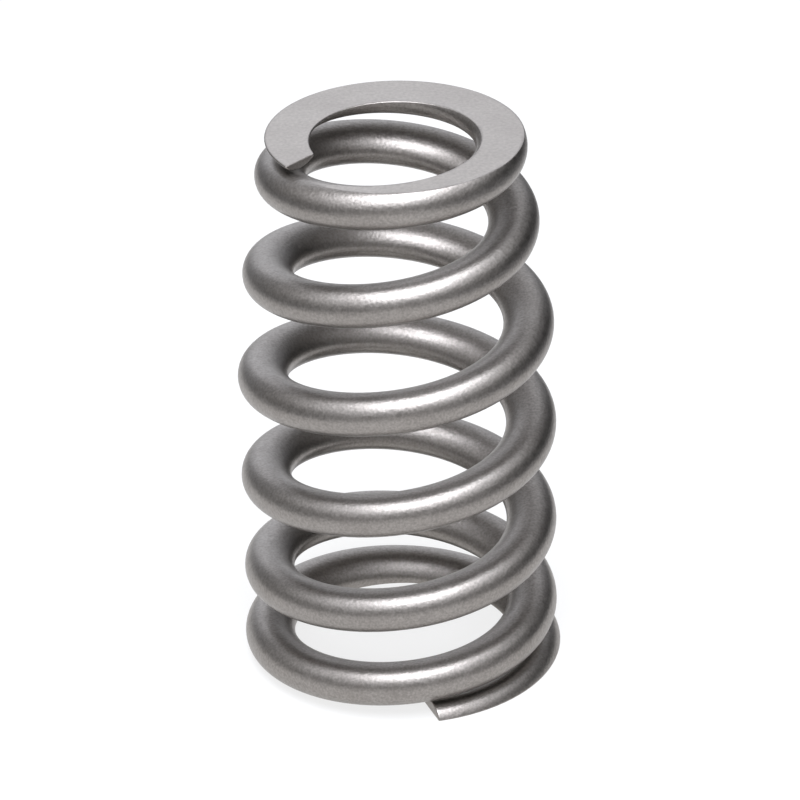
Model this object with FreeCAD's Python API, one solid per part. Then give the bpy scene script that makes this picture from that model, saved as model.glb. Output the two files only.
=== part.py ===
# A valve spring of an engine, unloaded: one ovate steel wire, cold wound in a right-hand coil.
# It stands on its base coil, which seats on the cylinder head, and the crown coil at the top
# carries the valve's retainer. From the base up the coils keep one diameter, then they draw in
# to the crown like a beehive. Both end coils are closed onto their neighbours and ground flat,
# so that each tip of the wire ends as a thin wedge.
# The origin is the centre of the ground base face, and +Z runs up the spring's axis.

import FreeCAD, Part
import math
import os

from FreeCAD import Vector

# Driving sizes. Lengths are in millimetres, angles in degrees, and places along the wire are
# in turns, counted from the base tip.
free_length = 60.0           # from one ground face to the other
total_turns = 6.8            # from tip to tip, with the closed coils
base_tip_angle = -79.0       # where the base tip lies, from +X anticlockwise seen from above

wire_width = 5.3             # the wire's section, outwards from the axis
wire_height = 4.4            # the wire's section, along the axis
wire_fullness = 0.14         # share by which it is fuller outside, and thinner on its inner side
wire_lean = 7.0              # coiling leans the section, so that its outer edge lies higher

base_coil_diameter = 28.0    # to the middle of the wire, as are the other coil diameters
crown_coil_diameter = 22.2
crown_taper_start = 3.0      # turns below the crown tip where the coils start to draw in
crown_taper_end = 0.45       # turns below the crown tip where they have the crown's diameter

base_tip_flare = 0.65        # the base tip springs out this far beyond its coil's radius
base_flare_turns = 1.5
crown_tip_tuck = 0.5         # the crown tip is pressed in this far, from the taper's end on

base_tip_thickness = 1.2     # what grinding leaves of the wire's height at each tip
crown_tip_thickness = 0.9
base_tip_gap = 0.25          # daylight between each tip and the coil that it closes onto
crown_tip_gap = 0.35
base_opening_turns = 3.0     # turns over which the pitch opens from the base tip
crown_closing_turns = 1.0    # turns over which the pitch closes towards the crown
crown_closed_turns = 0.55    # turns of even closed pitch that end at the crown tip

base_tip_skew = 10.0         # the shear cuts the wire askew: its blade is turned this far from
crown_tip_skew = 18.0        # square, anticlockwise seen from above
skew_fade_turns = 0.4        # the sections of the skin turn with the cut over this stretch

section_points = 16          # points that steer the section's curve
stations_per_turn = 12       # sections that steer the wire's skin, in each turn


def smooth_step(share):
    """Goes from 0 to 1 and starts and ends level."""
    share = min(max(share, 0.0), 1.0)
    return share * share * (3 - 2 * share)


def base_loss(turn):
    """The base's closing, summed from the base tip: whole at the tip, gone once it is open."""
    still_closed = max(0.0, 1 - turn / base_opening_turns)
    return base_opening_turns / 3 * (1 - still_closed ** 3)


def crown_loss(turn):
    """The crown's closing, summed from the base tip: a smooth step up, then whole to the tip."""
    closed_from = total_turns - crown_closed_turns
    share = (turn - closed_from) / crown_closing_turns + 1
    if share <= 0:
        return 0.0
    if share < 1:
        return crown_closing_turns * (share ** 3 - share ** 4 / 2)
    return crown_closing_turns / 2 + turn - closed_from


# Each end turn rises by one wire and the gap at its tip. The coils between them share the
# rest of the free length, which gives the open pitch and how much each end takes off it.
wire_rise = free_length - base_tip_thickness - crown_tip_thickness + wire_height
base_turn_rise = wire_height + base_tip_gap
crown_turn_rise = wire_height + crown_tip_gap
base_first_loss = base_loss(1)
crown_last_loss = crown_loss(total_turns) - crown_loss(total_turns - 1)
base_share = base_loss(total_turns) / base_first_loss
crown_share = crown_loss(total_turns) / crown_last_loss
open_pitch = (
    (wire_rise - base_turn_rise * base_share - crown_turn_rise * crown_share)
    / (total_turns - base_share - crown_share)
)
base_closing = (open_pitch - base_turn_rise) / base_first_loss
crown_closing = (open_pitch - crown_turn_rise) / crown_last_loss


def coil_height(turn):
    """Height of the wire's middle above the ground base face."""
    risen = open_pitch * turn - base_closing * base_loss(turn) - crown_closing * crown_loss(turn)
    return base_tip_thickness - wire_height / 2 + risen


def coil_radius(turn):
    """Distance of the wire's middle from the axis."""
    below_crown_tip = total_turns - turn
    taper_turns = crown_taper_start - crown_taper_end
    taper = smooth_step((crown_taper_start - below_crown_tip) / taper_turns)
    flare = base_tip_flare * max(0.0, 1 - turn / base_flare_turns) ** 2
    tuck = crown_tip_tuck * max(0.0, 1 - below_crown_tip / crown_taper_end)
    full = base_coil_diameter / 2
    drawn_in = (base_coil_diameter - crown_coil_diameter) / 2
    return full - drawn_in * taper + flare - tuck


def wire_profile():
    """The ovate section in its own plane: X outwards from the axis, Y up the spring. It is an
    oval whose blunt side lies outwards."""
    lean = FreeCAD.Rotation(Vector(0, 0, 1), wire_lean)
    points = []
    for step in range(section_points):
        phase = 2 * math.pi * step / section_points
        half_height = wire_height / 2 * (1 + wire_fullness * math.cos(phase))
        upright = Vector(wire_width / 2 * math.cos(phase), half_height * math.sin(phase), 0)
        points.append(lean.multVec(upright))
    profile = Part.BSplineCurve()
    profile.interpolate(Points=points, PeriodicFlag=True)
    return profile


def section_skew(turn):
    """Angle of the section's plane from square: the cut's at each tip, gone a little further on."""
    if turn < total_turns / 2:
        tip_skew, from_tip = base_tip_skew, turn
    else:
        tip_skew, from_tip = crown_tip_skew, total_turns - turn
    return math.radians(tip_skew) * (1 - smooth_step(from_tip / skew_fade_turns))


def carried(pole, turn):
    """A point of the section's plane, carried along the coil to this turn. In a skewed section
    the points further out lie ahead along the coil, on an upright plane through its middle."""
    radius = coil_radius(turn) + pole.x
    skew = section_skew(turn)
    lead = skew - math.asin(coil_radius(turn) * math.sin(skew) / radius)
    angle = math.radians(base_tip_angle) + 2 * math.pi * turn + lead
    height = coil_height(turn + lead / (2 * math.pi)) + pole.y
    return Vector(radius * math.cos(angle), radius * math.sin(angle), height)


def wound_wire():
    """The wire before grinding. Each pole of the section draws one path along the coil, and
    the paths together are the poles of the skin, which is split into one face for each turn."""
    profile = wire_profile()
    stations = round(total_turns * stations_per_turn)
    turns = [total_turns * station / stations for station in range(stations + 1)]
    paths = []
    for pole in profile.getPoles():
        path = Part.BSplineCurve()
        path.interpolate(Points=[carried(pole, turn) for turn in turns], Parameters=turns)
        paths.append(path)
    along = paths[0]
    skin = Part.BSplineSurface()
    skin.buildFromPolesMultsKnots(
        [list(row) for row in zip(*[path.getPoles() for path in paths])],
        along.getMultiplicities(), profile.getMultiplicities(),
        along.getKnots(), profile.getKnots(),
        False, profile.isPeriodic(), along.Degree, profile.Degree,
        [profile.getWeights()] * along.NbPoles,
    )
    faces = []
    around = profile.getKnots()
    splits = along.getKnots()[::stations_per_turn][:-1] + [total_turns]
    for start, end in zip(splits, splits[1:]):
        turn_of_skin = skin.copy()
        turn_of_skin.segment(start, end, around[0], around[-1])
        faces.append(turn_of_skin.toShape())
    for tip in (0, total_turns):
        faces.append(Part.Face(Part.Wire([skin.uIso(tip).toShape()])))
    shell = Part.makeShell(faces)
    shell.sewShape()
    wire = Part.makeSolid(Part.Shell(shell.Faces))
    if wire.Volume < 0:
        wire.reverse()
    return wire


def ground_flat(wire):
    """Takes off what stands below the base face and above the crown face."""
    stock_radius = base_coil_diameter + wire_width
    return wire.common(Part.makeCylinder(stock_radius, free_length))


spring = ground_flat(wound_wire()).Solids[0]
print("open pitch %.2f mm, spring valid: %s" % (open_pitch, spring.isValid()))

os.makedirs("parts", exist_ok=True)
spring.exportStep("parts/valve_spring.step")
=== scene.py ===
import math

import bpy
import numpy as np
from mathutils import Matrix, Vector


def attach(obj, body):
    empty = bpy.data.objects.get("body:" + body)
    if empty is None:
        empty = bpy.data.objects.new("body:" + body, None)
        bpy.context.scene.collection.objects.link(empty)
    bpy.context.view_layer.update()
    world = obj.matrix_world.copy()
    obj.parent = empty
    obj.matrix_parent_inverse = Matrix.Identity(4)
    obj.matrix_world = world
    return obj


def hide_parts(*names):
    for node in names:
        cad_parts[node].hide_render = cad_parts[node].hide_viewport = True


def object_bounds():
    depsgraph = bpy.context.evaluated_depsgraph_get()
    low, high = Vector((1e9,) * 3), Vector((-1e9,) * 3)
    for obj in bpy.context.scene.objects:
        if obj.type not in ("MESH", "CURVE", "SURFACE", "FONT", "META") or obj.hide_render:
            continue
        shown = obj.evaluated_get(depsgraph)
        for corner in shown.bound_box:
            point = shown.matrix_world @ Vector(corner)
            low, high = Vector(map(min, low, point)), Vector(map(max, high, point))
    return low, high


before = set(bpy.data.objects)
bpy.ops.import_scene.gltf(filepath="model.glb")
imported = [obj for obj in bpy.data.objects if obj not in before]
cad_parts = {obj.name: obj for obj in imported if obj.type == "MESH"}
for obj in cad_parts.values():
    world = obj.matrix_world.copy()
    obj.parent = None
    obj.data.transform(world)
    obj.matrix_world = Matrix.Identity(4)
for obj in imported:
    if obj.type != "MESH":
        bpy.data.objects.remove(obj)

cad_low, cad_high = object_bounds()

# The coil. The spring is one egg-shaped steel wire, cold wound right-handed on a mandrel. The
# coils keep one diameter from the base up and then draw in to a small crown under the retainer,
# and both end coils are closed onto their neighbours. Places along it are in turns.
mm = 0.001
free_length = cad_high.z - cad_low.z
total_turns = 6.8
base_tip_angle = math.radians(-79)
wire_width = 5.3 * mm
wire_height = 4.4 * mm
wire_fullness = 0.14
wire_lean = math.radians(7)
base_coil_radius = 14.0 * mm
crown_coil_radius = 11.1 * mm
crown_taper_start = 3.0
crown_taper_end = 0.45
base_tip_flare = 0.65 * mm
base_flare_turns = 1.5
crown_tip_tuck = 0.5 * mm
base_tip_thickness = 1.2 * mm
crown_tip_thickness = 0.9 * mm
base_tip_gap = 0.25 * mm
crown_tip_gap = 0.35 * mm
base_opening_turns = 3.0
crown_closing_turns = 1.0
crown_closed_turns = 0.55


def smooth_step(share):
    """Goes from 0 to 1 and starts and ends level."""
    share = np.clip(share, 0, 1)
    return share * share * (3 - 2 * share)


def base_loss(turn):
    """How much pitch the closed base has taken up to this turn, in turns of full closing."""
    still_closed = np.clip(1 - turn / base_opening_turns, 0, 1)
    return base_opening_turns / 3 * (1 - still_closed ** 3)


def crown_loss(turn):
    """The same for the closed crown, whose pitch falls in a smooth step and then stays small."""
    past = turn - (total_turns - crown_closed_turns)
    share = np.clip(past / crown_closing_turns + 1, 0, 1)
    return crown_closing_turns * (share ** 3 - share ** 4 / 2) + np.maximum(past, 0)


# Each end turn rises by one wire and the daylight at its tip, and the coils between them share
# the rest of the free length.
wire_rise = free_length - base_tip_thickness - crown_tip_thickness + wire_height
base_turn_rise = wire_height + base_tip_gap
crown_turn_rise = wire_height + crown_tip_gap
crown_last_loss = crown_loss(total_turns) - crown_loss(total_turns - 1)
base_share = base_loss(total_turns) / base_loss(1)
crown_share = crown_loss(total_turns) / crown_last_loss
open_rise = wire_rise - base_turn_rise * base_share - crown_turn_rise * crown_share
open_pitch = open_rise / (total_turns - base_share - crown_share)
base_closing = (open_pitch - base_turn_rise) / base_loss(1)
crown_closing = (open_pitch - crown_turn_rise) / crown_last_loss


def coil_height(turn):
    """Height of the wire's middle above the ground base face."""
    risen = open_pitch * turn - base_closing * base_loss(turn) - crown_closing * crown_loss(turn)
    return base_tip_thickness - wire_height / 2 + risen


def coil_radius(turn):
    """Distance of the wire's middle from the spring's axis."""
    below_crown_tip = total_turns - turn
    taper_turns = crown_taper_start - crown_taper_end
    taper = smooth_step((crown_taper_start - below_crown_tip) / taper_turns)
    flare = base_tip_flare * np.clip(1 - turn / base_flare_turns, 0, 1) ** 2
    tuck = crown_tip_tuck * np.clip(1 - below_crown_tip / crown_taper_end, 0, 1)
    drawn_in = base_coil_radius - crown_coil_radius
    return base_coil_radius - drawn_in * taper + flare - tuck


# The wire's skin. Each ring of points is one section of the wire, leaned by the coiling. The
# grinding wheels cut both ends level. The end coils give a little under the wheels, so the
# cuts run out softly, and tumbling breaks the ground edges and the sheared tips' edges.
rings_per_turn = 100
points_around = 96
bend_share = 0.6
outline_steps = 1200
edge_steps = 30
flat_steps = 60
edge_round = 0.13 * mm
tip_round = 0.12 * mm
tip_round_steps = 5
soft_cut = 0.25 * mm
soft_reach = 1.4 * mm
finish_depth = 0.02 * mm
base_tip_skew = math.radians(10)
crown_tip_skew = math.radians(18)
skew_fade_turns = 0.4


def wire_outline(inset=0.0):
    """Points round the leaned section, anticlockwise from its outer side, and from the wire's
    middle. The wire is fuller outside. An inset gives the curve that lies inside it."""
    phase = np.linspace(0, 2 * math.pi, outline_steps + 1)[:-1]
    wide, high = np.cos(phase), np.sin(phase)
    out = wire_width / 2 * wide
    up = wire_height / 2 * high * (1 + wire_fullness * wide)
    along_out = -wire_width / 2 * high
    along_up = wire_height / 2 * (wide + wire_fullness * np.cos(2 * phase))
    run = np.hypot(along_out, along_up)
    out, up = out - inset * along_up / run, up + inset * along_out / run
    lean_cos, lean_sin = math.cos(wire_lean), math.sin(wire_lean)
    return np.stack([out * lean_cos - up * lean_sin, out * lean_sin + up * lean_cos], axis=1)


def soft_ground(outline, depth):
    """Where the wheel grinds level this far from the wire's middle, what it really leaves: the
    cut's distance from the middle, and the cut face's share of the ground finish."""
    cut_off = -outline[:, 1].min() - depth
    give = soft_cut * (1 - smooth_step(abs(cut_off) / soft_reach))
    soft_cut_off = (cut_off + math.hypot(cut_off, 2 * give)) / 2
    return depth + (cut_off - soft_cut_off), min(soft_cut_off / finish_depth, 1)


def ground_edge(outline, centres, kept, gone, depth, finish):
    """The rounded edge between the wire's skin and a ground face, as an arc that ends on it. It
    lies between two neighbours on the outline, of which one is kept and one is ground away."""
    gap = centres[kept] - centres[gone]
    centre = centres[gone] + gap * (edge_round - depth - centres[gone, 1]) / gap[1]
    square = (outline[kept] - centres[kept]) / edge_round
    tilt = np.linspace(math.atan2(square[0], -square[1]), 0, edge_steps + 1)
    arc = centre + edge_round * np.column_stack([np.sin(tilt), -np.cos(tilt), 0 * tilt])
    arc[-1, 1:] = -depth, finish
    return arc


def ground_runs(depth, underside):
    """The section, ground level this far from the wire's middle, as two runs of points: from
    its top over the inner side to its underside, and over the outer side up to the top again.
    Each point has its place out and up, and its share of the ground finish."""
    outline, centres = wire_outline(), wire_outline(edge_round)
    if not underside:
        outline, centres = outline[::-1] * (1, -1), centres[::-1] * (1, -1)
    depth, finish = soft_ground(outline, depth)
    outline, centres = [np.column_stack([line, 0 * line[:, 0]]) for line in (outline, centres)]
    top = outline[:, 1].argmax()
    outline, centres = np.roll(outline, -top, axis=0), np.roll(centres, -top, axis=0)
    cut = np.flatnonzero(centres[:, 1] < edge_round - depth)
    if len(cut) == 0:
        lowest = outline[:, 1].argmin()
        inner_run, outer_run = outline[:lowest + 1], outline[lowest:]
    else:
        first, last = cut[0], cut[-1]
        inner_edge = ground_edge(outline, centres, first - 1, first, depth, finish)
        outer_edge = ground_edge(outline, centres, (last + 1) % outline_steps, last, depth, finish)
        middle = (inner_edge[-1] + outer_edge[-1]) / 2
        inner_flat = np.linspace(inner_edge[-1], middle, flat_steps + 1)[1:]
        outer_flat = np.linspace(middle, outer_edge[-1], flat_steps + 1)[:-1]
        inner_run = np.concatenate([outline[:first], inner_edge, inner_flat])
        outer_run = np.concatenate([outer_flat, outer_edge[::-1], outline[last + 1:]])
    outer_run = np.concatenate([outer_run, outline[:1]])
    if underside:
        return inner_run, outer_run
    return inner_run[::-1] * (1, -1, 1), outer_run[::-1] * (1, -1, 1)


def shared_out(run):
    """Half a ring of points along a run: they lie closer together where it bends more."""
    steps = np.diff(run, axis=0)
    lengths = np.hypot(steps[:, 0], steps[:, 1])
    headings = np.arctan2(steps[:, 1], steps[:, 0])
    turned = np.abs((np.diff(headings) + math.pi) % (2 * math.pi) - math.pi)
    bends = (np.append(turned, 0) + np.append(0, turned)) / 2
    shares = (1 - bend_share) * lengths / lengths.sum() + bend_share * bends / bends.sum()
    summed = np.concatenate([[0], np.cumsum(shares)])
    places = np.linspace(0, summed[-1], points_around // 2 + 1)[:-1]
    return np.column_stack([np.interp(places, summed, column) for column in run.T])


def section(turn):
    """One ring in the section's plane: distance from the axis, height, and ground finish."""
    height, below_crown = coil_height(turn), free_length - coil_height(turn)
    runs = ground_runs(min(height, below_crown), underside=height < below_crown)
    middle = np.array([coil_radius(turn), height, 0])
    return middle + np.concatenate([shared_out(run) for run in runs])


def section_skew(turn):
    """The shear cuts the wire askew, and the sections near a tip turn with its cut."""
    from_base, from_crown = turn, total_turns - turn
    tip_skew = base_tip_skew if from_base < from_crown else crown_tip_skew
    return tip_skew * (1 - smooth_step(min(from_base, from_crown) / skew_fade_turns))


def placed(turn, ring):
    """A ring's points about the spring's axis. In a skewed section the outer ones lie ahead."""
    out, up, finish = ring.T
    skew = section_skew(turn)
    lead = skew - np.arcsin(coil_radius(turn) * math.sin(skew) / out)
    angle = base_tip_angle + 2 * math.pi * turn + lead
    return np.column_stack([out * np.cos(angle), out * np.sin(angle), up, finish])


def drawn_in_from(ring, inset):
    """The ring of points moved inwards, square to itself."""
    along = np.roll(ring, -1, axis=0) - np.roll(ring, 1, axis=0)
    inwards = np.column_stack([-along[:, 1], along[:, 0], 0 * along[:, 0]])
    return ring + inset * inwards / np.hypot(along[:, 0], along[:, 1])[:, None]


def tip_rings(tip_turn, inwards):
    """Rings that round the edge of a sheared tip, from the full section to the flat end face."""
    rings = []
    for step in range(tip_round_steps + 1):
        swing = math.pi / 2 * step / tip_round_steps
        back = tip_round * (1 - math.sin(swing))
        turn = tip_turn + inwards * back / (2 * math.pi * coil_radius(tip_turn))
        rings.append(placed(turn, drawn_in_from(section(turn), tip_round * (1 - math.cos(swing)))))
    return rings


round_turns = tip_round / (2 * math.pi * coil_radius(total_turns))
ring_count = round(total_turns * rings_per_turn)
body_turns = np.linspace(2 * round_turns, total_turns - 2 * round_turns, ring_count)
rings = tip_rings(0.0, 1)[::-1]
rings += [placed(turn, section(turn)) for turn in body_turns]
rings += tip_rings(total_turns, -1)

points = np.concatenate(rings)
around = np.arange(points_around)
beside = (around + 1) % points_around
crown_tip_ring = (len(rings) - 1) * points_around
faces = []
for ring_start in range(0, crown_tip_ring, points_around):
    ring_end = ring_start + points_around
    corners = [ring_start + around, ring_end + around, ring_end + beside, ring_start + beside]
    faces += np.stack(corners, axis=1).tolist()
faces.append(around.tolist())
faces.append((crown_tip_ring + around[::-1]).tolist())

skin = bpy.data.meshes.new("spring_wire")
skin.from_pydata(points[:, :3].tolist(), [], faces)
skin.validate()
skin.update()

spring = bpy.data.objects.new("spring_wire", skin)
bpy.context.scene.collection.objects.link(spring)

# The ground faces and the two sheared tips are shaded flat, the others smoothly. The steel's
# finish follows a value at each point of the skin: 1 where the wheel ground it, 0 elsewhere.
ground_finish = points[:, 3]
skin.attributes.new("ground_finish", "FLOAT", "POINT").data.foreach_set("value", ground_finish)
for face in skin.polygons:
    wheel_cut = ground_finish[list(face.vertices)].min() > 0
    sheared = len(face.vertices) == points_around
    face.use_smooth = not (wheel_cut or sheared)

# The steel. Coiling and heat treatment leave the wire grey, and shot peening covers it with small
# shallow dimples: it shines like satin, with a sandy grain and soft cloudy tones. The wheels
# leave the two end faces brighter and finer, and this ground finish runs out softly on the wire.
wire_dark, wire_light = (0.281, 0.260, 0.243), (0.309, 0.288, 0.271)
face_dark, face_light = (0.402, 0.373, 0.350), (0.438, 0.409, 0.383)
sand_dark, sand_light = 0.83, 1.17
dust_dark, dust_light = 0.90, 1.10
wire_shine, wire_dull = 0.35, 0.43
face_shine, face_dull = 0.36, 0.44
dimple_depth, sand_depth, mark_depth = 0.013 * mm, 0.008 * mm, 0.0025 * mm
noise_low, noise_high = 0.3, 0.7


def add_node(owner, kind, **settings):
    """A new node of a material or of the world. Its sockets and its settings go by name."""
    node = owner.node_tree.nodes.new(kind)
    for name, value in settings.items():
        if name in node.inputs:
            node.inputs[name].default_value = value
        else:
            setattr(node, name, value)
    return node


def join(owner, start, output, end, socket):
    """Leads a node's output into another node's socket."""
    owner.node_tree.links.new(start.outputs[output], end.inputs[socket])


def ranged(owner, source, output, source_low, source_high, low, high, smooth=False):
    """The source's values between two of its levels, brought to the range from low to high."""
    levels = add_node(owner, "ShaderNodeMapRange")
    levels.interpolation_type = "SMOOTHSTEP" if smooth else "LINEAR"
    limits = (("From Min", source_low), ("From Max", source_high), ("To Min", low), ("To Max", high))
    for socket, value in limits:
        levels.inputs[socket].default_value = value
    join(owner, source, output, levels, "Value")
    return levels


steel = bpy.data.materials.new("spring_steel")
steel.use_nodes = True
steel_shader = steel.node_tree.nodes["Principled BSDF"]
steel_shader.inputs["Metallic"].default_value = 1.0
on_spring = add_node(steel, "ShaderNodeTexCoord")
finish_share = add_node(steel, "ShaderNodeAttribute", attribute_name="ground_finish")
on_ground = ranged(steel, finish_share, "Fac", 0, 1, 0, 1)
off_ground = ranged(steel, finish_share, "Fac", 0, 1, 1, 0)


def noise(waves, detail, stretch=(1, 1, 1)):
    """A cloudy pattern on the spring, with this many waves to the metre."""
    stretched = add_node(steel, "ShaderNodeMapping", Scale=stretch)
    pattern = add_node(steel, "ShaderNodeTexNoise", Scale=waves, Detail=detail)
    join(steel, on_spring, "Object", stretched, "Vector")
    join(steel, stretched, "Vector", pattern, "Vector")
    return pattern


def by_noise(pattern, low, high):
    """Goes from low to high with the pattern, which lies mostly between its two noise levels."""
    return ranged(steel, pattern, "Fac", noise_low, noise_high, low, high)


def toned(pattern, dark, light, speckle, low, high):
    """The colour between two tones by the pattern, made darker and lighter by a finer one."""
    tones = add_node(steel, "ShaderNodeMix", data_type="RGBA")
    tones.inputs["A"].default_value = (*dark, 1)
    tones.inputs["B"].default_value = (*light, 1)
    join(steel, by_noise(pattern, 0, 1), "Result", tones, "Factor")
    product = add_node(steel, "ShaderNodeVectorMath", operation="SCALE")
    join(steel, tones, "Result", product, 0)
    join(steel, by_noise(speckle, low, high), "Result", product, "Scale")
    return product


def by_finish(data_type, peened, ground, output, socket):
    """The peened and the ground finish, mixed by the share of the ground one, into a socket."""
    mix = add_node(steel, "ShaderNodeMix", data_type=data_type)
    join(steel, on_ground, "Result", mix, "Factor")
    join(steel, peened, output, mix, "A")
    join(steel, ground, output, mix, "B")
    join(steel, mix, "Result", steel_shader, socket)


def bump(pattern, output, depth, strength, below=None):
    """Dents as deep as this, by the pattern, on top of the bumps below."""
    dents = add_node(steel, "ShaderNodeBump", Distance=depth)
    join(steel, pattern, output, dents, "Height")
    join(steel, strength, "Result", dents, "Strength")
    if below:
        join(steel, below, "Normal", dents, "Normal")
    return dents


# The peened wire: clouds and sandy speckles in its tone, an uneven sheen, and the shot's dimples.
clouds = noise(waves=240, detail=2)
sand = noise(waves=3800, detail=2)
sheen = noise(waves=1500, detail=3)
dimples = add_node(steel, "ShaderNodeTexVoronoi", feature="SMOOTH_F1", Scale=3000, Smoothness=0.6)
join(steel, on_spring, "Object", dimples, "Vector")
wire_colour = toned(clouds, wire_dark, wire_light, sand, sand_dark, sand_light)
wire_roughness = by_noise(sheen, wire_shine, wire_dull)
shot_dents = bump(dimples, "Distance", dimple_depth, off_ground)
peening = bump(sand, "Fac", sand_depth, off_ground, below=shot_dents)

# The ground faces: a fine dusty grain, and the wheel's faint marks.
dust = noise(waves=2700, detail=3)
marks = noise(waves=700, detail=4, stretch=(1, 8, 1))
face_colour = toned(clouds, face_dark, face_light, dust, dust_dark, dust_light)
face_roughness = by_noise(marks, face_shine, face_dull)
grinding = bump(marks, "Fac", mark_depth, on_ground, below=peening)

by_finish("RGBA", wire_colour, face_colour, "Vector", "Base Color")
by_finish("FLOAT", wire_roughness, face_roughness, "Result", "Roughness")
join(steel, grinding, "Normal", steel_shader, "Normal")
skin.materials.append(steel)

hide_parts("valve_spring")
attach(spring, "root")

# The table is a plain white sheet. Round the spring it has a glow that only the camera and shiny
# or clear things see. The glow fades out to both sides, and the spring's soft shadow stays.
table_half = 3.0
sheet_colour = (0.19, 0.19, 0.19, 1)
sheet_roughness = 0.9
sheet_glow = 0.78
glow_middle, glow_start, glow_end = -0.025, 0.09, 0.18


def combined(owner, operation, first, second):
    """The sum or product of two nodes' first outputs."""
    result = add_node(owner, "ShaderNodeMath", operation=operation)
    join(owner, first, 0, result, 0)
    join(owner, second, 0, result, 1)
    return result


table_mesh = bpy.data.meshes.new("table")
table_corners = [(-table_half, -table_half, 0), (table_half, -table_half, 0),
                 (table_half, table_half, 0), (-table_half, table_half, 0)]
table_mesh.from_pydata(table_corners, [], [(0, 1, 2, 3)])
table = bpy.data.objects.new("table", table_mesh)
bpy.context.scene.collection.objects.link(table)

sheet = bpy.data.materials.new("white_sheet")
sheet.use_nodes = True
sheet_shader = sheet.node_tree.nodes["Principled BSDF"]
sheet_shader.inputs["Base Color"].default_value = sheet_colour
sheet_shader.inputs["Roughness"].default_value = sheet_roughness
sheet_shader.inputs["Specular IOR Level"].default_value = 0.0
sheet_shader.inputs["Emission Color"].default_value = (1, 1, 1, 1)
on_sheet = add_node(sheet, "ShaderNodeTexCoord")
sheet_axes = add_node(sheet, "ShaderNodeSeparateXYZ")
join(sheet, on_sheet, "Object", sheet_axes, "Vector")
aside = add_node(sheet, "ShaderNodeMath", operation="SUBTRACT")
aside.inputs[1].default_value = glow_middle
join(sheet, sheet_axes, "X", aside, 0)
apart = add_node(sheet, "ShaderNodeMath", operation="ABSOLUTE")
join(sheet, aside, 0, apart, 0)
fading = ranged(sheet, apart, 0, glow_start, glow_end, sheet_glow, 0.0, smooth=True)
path = add_node(sheet, "ShaderNodeLightPath")
seen = add_node(sheet, "ShaderNodeMath", operation="ADD")
join(sheet, path, "Is Camera Ray", seen, 0)
join(sheet, path, "Is Glossy Ray", seen, 1)
seen_through = add_node(sheet, "ShaderNodeMath", operation="ADD")
join(sheet, seen, 0, seen_through, 0)
join(sheet, path, "Is Transmission Ray", seen_through, 1)
glow = combined(sheet, "MULTIPLY", fading, seen_through)
join(sheet, glow, 0, sheet_shader, "Emission Strength")
table_mesh.materials.append(sheet)

# The light is one wide soft box above the spring and towards the camera, bright in its middle
# and pale in its skirt. Each panel has its left, right, front and back edge and its strength.
box_height = 0.45
daylight = (0.967, 1.0, 1.073)
panels = {"box_middle": (-0.16, 0.16, -0.38, 0.04, 6.4),
          "box_skirt": (-0.68, 0.55, -0.80, 0.06, 0.65)}
for panel_name, (left, right, front, back, strength) in panels.items():
    panel = bpy.data.lights.new(panel_name, "AREA")
    panel.shape = "RECTANGLE"
    panel.size, panel.size_y = right - left, back - front
    panel.energy = 4 * strength * panel.size * panel.size_y
    panel.color = daylight
    lamp = bpy.data.objects.new(panel_name, panel)
    lamp.location = ((left + right) / 2, (front + back) / 2, box_height)
    bpy.context.scene.collection.objects.link(lamp)

# The room round the box is dim, darkest on the right and a little behind the spring. It grows
# paler upwards, and behind the spring stands a pale wall in the same daylight as the box.
room = bpy.data.worlds.new("room")
bpy.context.scene.world = room
room.use_nodes = True
background = room.node_tree.nodes["Background"]
heading = add_node(room, "ShaderNodeTexCoord")


def lean_to(direction):
    """How much each heading in the room leans to this direction, up to 1."""
    lean = add_node(room, "ShaderNodeVectorMath", operation="DOT_PRODUCT")
    lean.inputs[1].default_value = direction
    join(room, heading, "Generated", lean, 0)
    return lean


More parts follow.
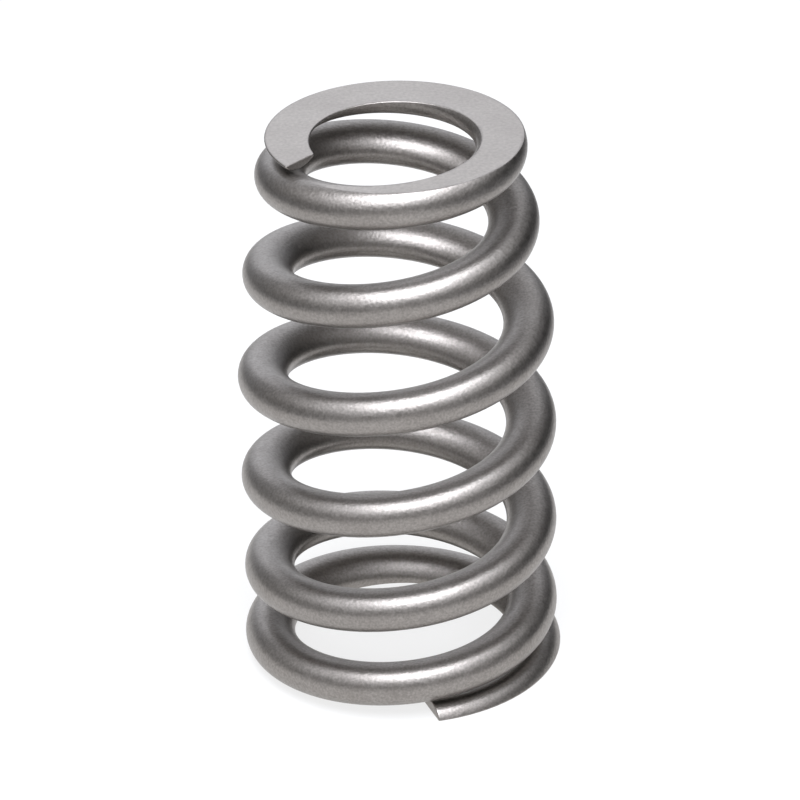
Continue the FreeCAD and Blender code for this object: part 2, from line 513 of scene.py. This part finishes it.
# Each part of the room has its direction, the two leans between which its level changes, and
# its levels there.
wall_direction = (0, 1, 0)
room_parts = {"dim sides": ((0.85, 0.53, 0), 0.42, 0.95, 0.29, 0.0),
              "pale wall": (wall_direction, 0.72, 0.95, 0.0, 0.40),
              "its bright middle": ((-0.05, 0.905, 0.42), 0.85, 0.97, 0.0, 0.60),
              "ceiling": ((0, 0, 1), 0.10, 0.75, 0.0, 0.16)}
level = None
for direction, lean_start, lean_end, level_start, level_end in room_parts.values():
    part = ranged(room, lean_to(direction), "Value", lean_start, lean_end, level_start, level_end,
                  smooth=True)
    level = combined(room, "ADD", level, part) if level else part
join(room, level, 0, background, "Strength")

tint_start, tint_end = 0.3, 0.8
tinted = ranged(room, lean_to(wall_direction), "Value", tint_start, tint_end, 0, 1)
tint = add_node(room, "ShaderNodeMix", data_type="RGBA")
tint.inputs["A"].default_value = (1, 1, 1, 1)
tint.inputs["B"].default_value = (*daylight, 1)
join(room, tinted, "Result", tint, "Factor")
join(room, tint, "Result", background, "Color")

# The camera looks down on the spring from the front, at the photograph's angle and framing.
photo_width = 800
photo_middle = 397.565
focal_pixels = 4591.30
elevation, roll = 0.5001, -0.0201
aim = Vector((0, 0, 29.4181 * mm))
distance = 481.712 * mm
camera_data = bpy.data.cameras.new("camera")
camera_data.lens = focal_pixels / photo_width * camera_data.sensor_width
camera_data.shift_x = -(photo_middle - photo_width / 2) / photo_width
camera_data.clip_start = 0.01
forward = Vector((0, math.cos(elevation), -math.sin(elevation)))
level_right = Vector((1, 0, 0))
level_up = level_right.cross(forward)
rightwards = math.cos(roll) * level_right + math.sin(roll) * level_up
upwards = math.cos(roll) * level_up - math.sin(roll) * level_right
facing = Matrix((rightwards, upwards, -forward)).transposed().to_4x4()
camera = bpy.data.objects.new("camera", camera_data)
camera.matrix_world = Matrix.Translation(aim - forward * distance) @ facing
bpy.context.scene.collection.objects.link(camera)
bpy.context.scene.camera = camera

bpy.context.scene.view_settings.view_transform = "Standard"
